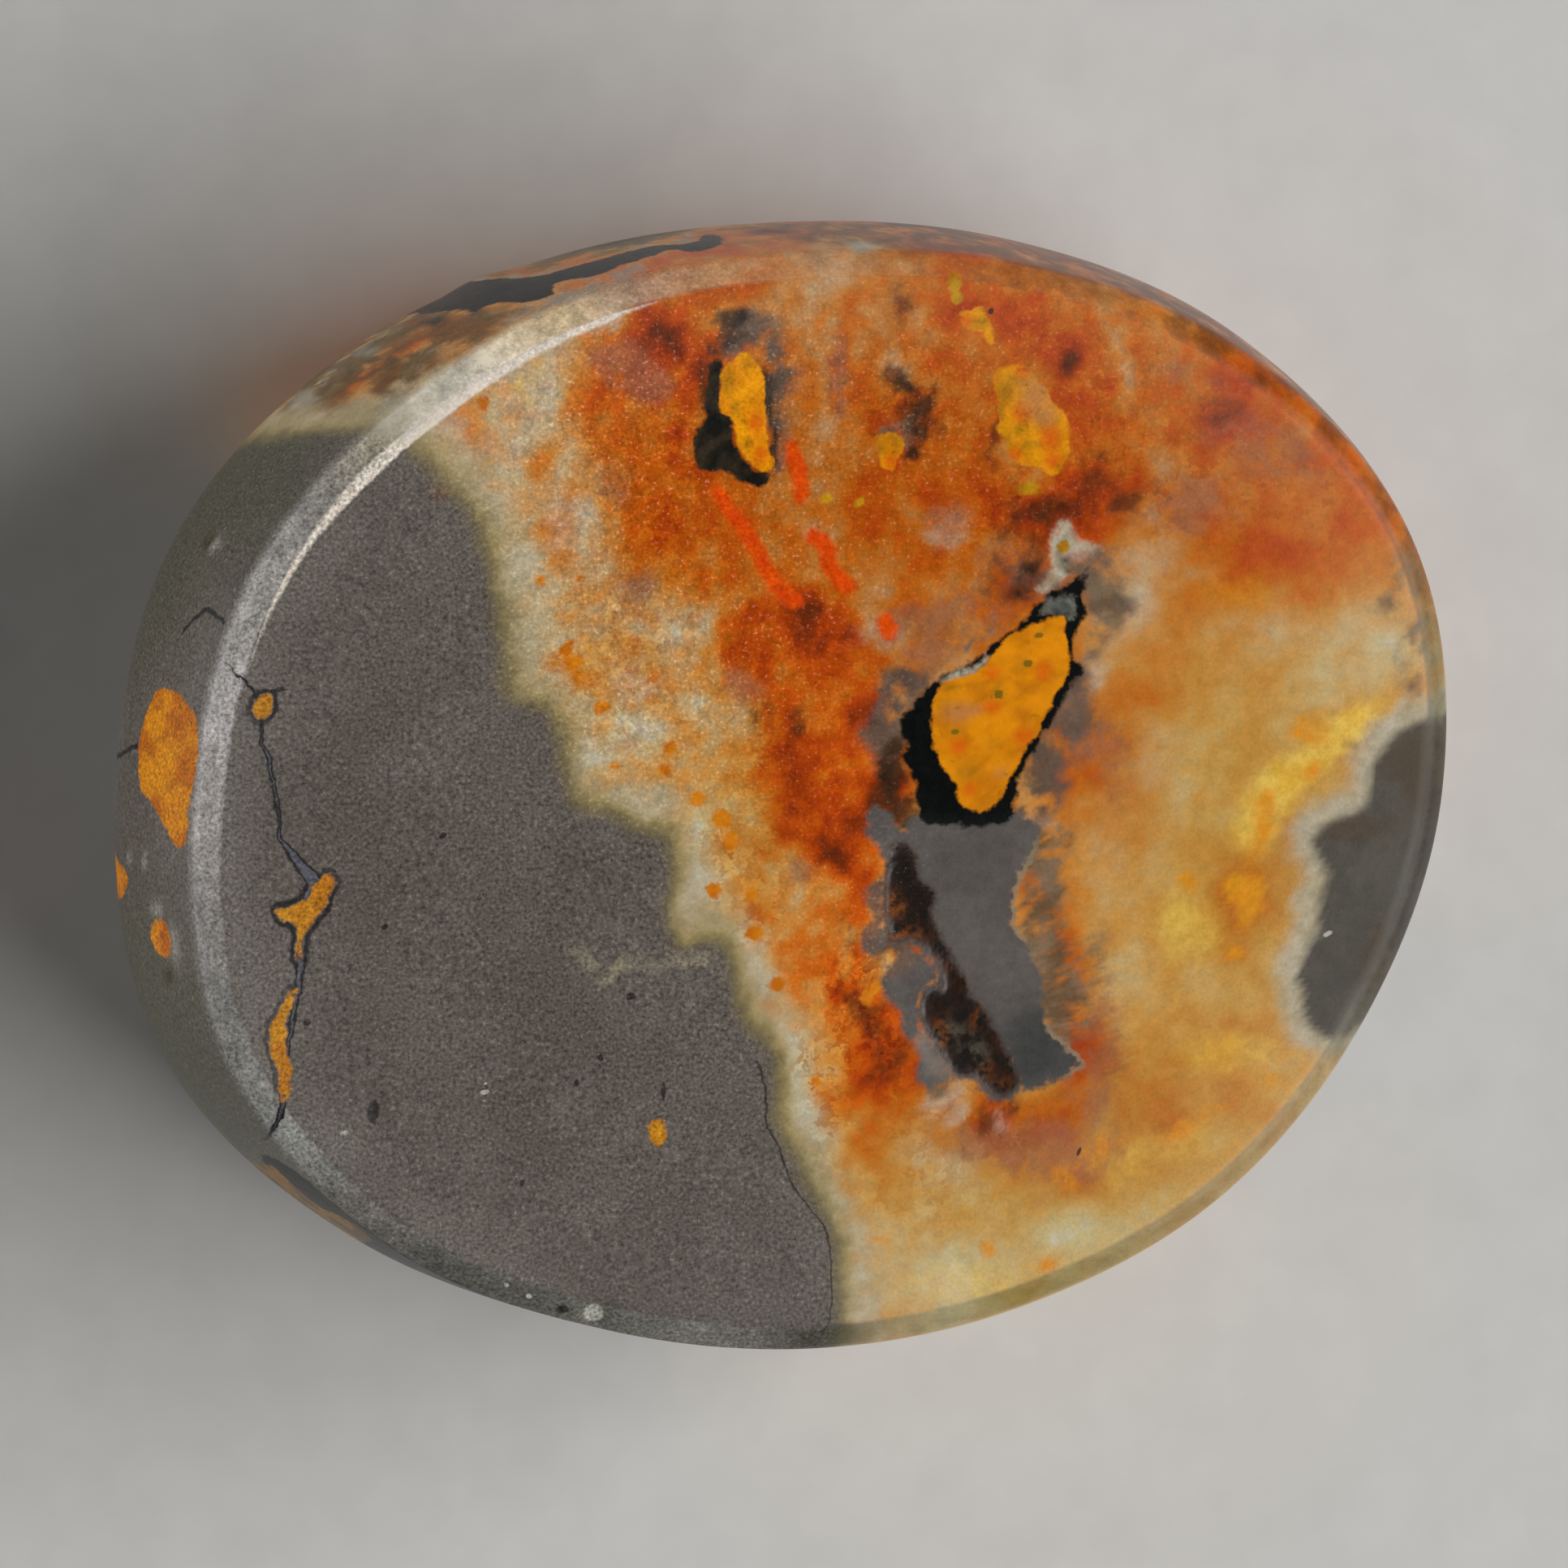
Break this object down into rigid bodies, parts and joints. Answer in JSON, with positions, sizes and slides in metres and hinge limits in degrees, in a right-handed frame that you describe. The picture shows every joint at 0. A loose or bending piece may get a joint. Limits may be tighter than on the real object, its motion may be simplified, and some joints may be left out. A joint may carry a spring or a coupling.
{
  "type": "palm stone",
  "caption": "Oval slab of polished bumblebee jasper with nearly flat faces, a narrow bevel and a swelling side, sized to lie in the palm; it rests on its flat lower face.",
  "frame": {"origin": "middle of the flat lower face, which is the bottom middle of the bounding box", "axes": "+Z out of the upper face, +X along the long axis of the oval, +Y across it"},
  "size_m": [0.0596, 0.0504, 0.02],
  "materials": {
    "jasper": "polished stone: slate grey, cream, ochre yellow, orange and black, softly glossy"
  },
  "bodies": {
    "root": {"palm_stone": "jasper"}
  },
  "joints": []
}
